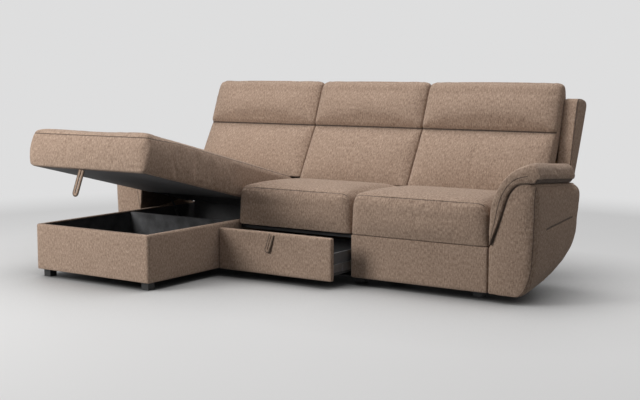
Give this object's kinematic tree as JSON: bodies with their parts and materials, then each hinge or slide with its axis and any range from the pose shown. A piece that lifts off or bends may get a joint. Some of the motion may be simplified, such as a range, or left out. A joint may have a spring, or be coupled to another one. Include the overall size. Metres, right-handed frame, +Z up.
{
  "type": "storage sofa",
  "caption": "Storage sofa with a chaise whose upholstered seat lifts on gas struts over a storage box, a pull-out drawer, padded arms and a leaning cushioned back.",
  "frame": {"origin": "middle of the sofa's footprint box on the floor, as it stands in the picture with the lid at 13.8 degrees and the drawer 170 mm out", "axes": "+X across the sofa from the chaise to the right arm as seen from the front, +Y from front to back, +Z up"},
  "size_m": [2.7514, 1.6726, 1.017],
  "materials": {
    "cover_cloth": "taupe woven upholstery cloth with a light and dark fleck, over foam",
    "black_cloth": "thin black lining and dust cloth, black webbing",
    "timber": "plain particle board, plywood and sawn softwood",
    "black_board": "board faced in black",
    "zinc_steel": "zinc plated sheet steel and turned steel",
    "black_paint": "smooth black paint on a steel tube",
    "black_plastic": "matt black moulded plastic"
  },
  "bodies": {
    "base": {"chaise_left_board": "black_board", "chaise_right_board": "black_board", "chaise_front_board": "black_board", "chaise_divider_board": "black_board", "chaise_rear_board": "black_board", "chaise_bottom_board": "black_board", "chaise_cover": "cover_cloth", "storage_lining": "black_cloth", "seat_divider_board": "timber", "right_end_board": "timber", "body_rear_board": "timber", "right_front_board": "timber", "right_front_cover": "cover_cloth", "seat_deck_rails": "black_cloth", "seat_webbing": "black_cloth", "deck_brackets": "zinc_steel", "middle_seat_cushion": "cover_cloth", "right_seat_cushion": "cover_cloth", "underside_cover": "black_cloth", "feet": "black_plastic", "foot_plates": "zinc_steel", "arm_right_frame": "timber", "arm_right_cover": "cover_cloth", "arm_right_pad": "cover_cloth", "arm_left_frame": "timber", "arm_left_cover": "cover_cloth", "arm_left_pad": "cover_cloth", "arm_bolts": "zinc_steel", "back_posts": "timber", "back_rails": "timber", "back_webbing": "black_cloth", "back_rear_panel": "cover_cloth", "back_brackets": "zinc_steel", "wing_right": "cover_cloth", "wing_left": "cover_cloth", "back_cushion_left": "cover_cloth", "back_cushion_middle": "cover_cloth", "back_cushion_right": "cover_cloth", "hinge_plates": "zinc_steel", "hinge_pins": "zinc_steel", "strut_base_brackets": "zinc_steel", "runner_fixed_members": "zinc_steel"},
    "lid": {"lid_frame": "timber", "lid_slats": "timber", "lid_bottom_panel": "black_cloth", "lid_cushion": "cover_cloth", "lid_pull": "cover_cloth", "hinge_leaves": "zinc_steel", "strut_lid_brackets": "zinc_steel"},
    "strut_cylinders": {"strut_cylinders": "black_paint"},
    "strut_rods": {"strut_rods": "zinc_steel"},
    "drawer": {"drawer_front_board": "black_board", "drawer_front_cover": "cover_cloth", "drawer_box": "black_board", "drawer_bottom": "black_board", "drawer_pull": "cover_cloth", "runner_drawer_members": "zinc_steel"},
    "runner_middle": {"runner_middle_members": "zinc_steel"}
  },
  "joints": [
    {"name": "lid_hinge", "type": "hinge", "parent": "base", "child": "lid", "pos_m": [-0.73535, 0.41439, 0.345], "axis": [-1, 0, 0], "range_deg": [-13.8, 31.2]},
    {"name": "strut_cylinder_pivot", "type": "hinge", "parent": "base", "child": "strut_cylinders", "pos_m": [-0.73535, 0.34207, 0.09526], "axis": [-1, 0, 0], "range_deg": [-6.95, 15.65]},
    {"name": "strut_rod_pivot", "type": "hinge", "parent": "lid", "child": "strut_rods", "pos_m": [-0.73535, 0.15536, 0.36744], "axis": [-1, 0, 0], "range_deg": [-15.65, 6.95]},
    {"name": "drawer_slide", "type": "slide", "parent": "base", "child": "drawer", "axis": [0, -1, 0], "range_m": [-0.17, 0.25]},
    {"name": "runner_middle_slide", "type": "slide", "parent": "base", "child": "runner_middle", "axis": [0, -1, 0], "range_m": [-0.0851, 0.1251]}
  ],
  "couplings": [
    {"joint": "strut_cylinder_pivot", "follows": "lid_hinge", "ratio": 0.5},
    {"joint": "strut_rod_pivot", "follows": "lid_hinge", "ratio": -0.5},
    {"joint": "runner_middle_slide", "follows": "drawer_slide", "ratio": 0.5}
  ]
}
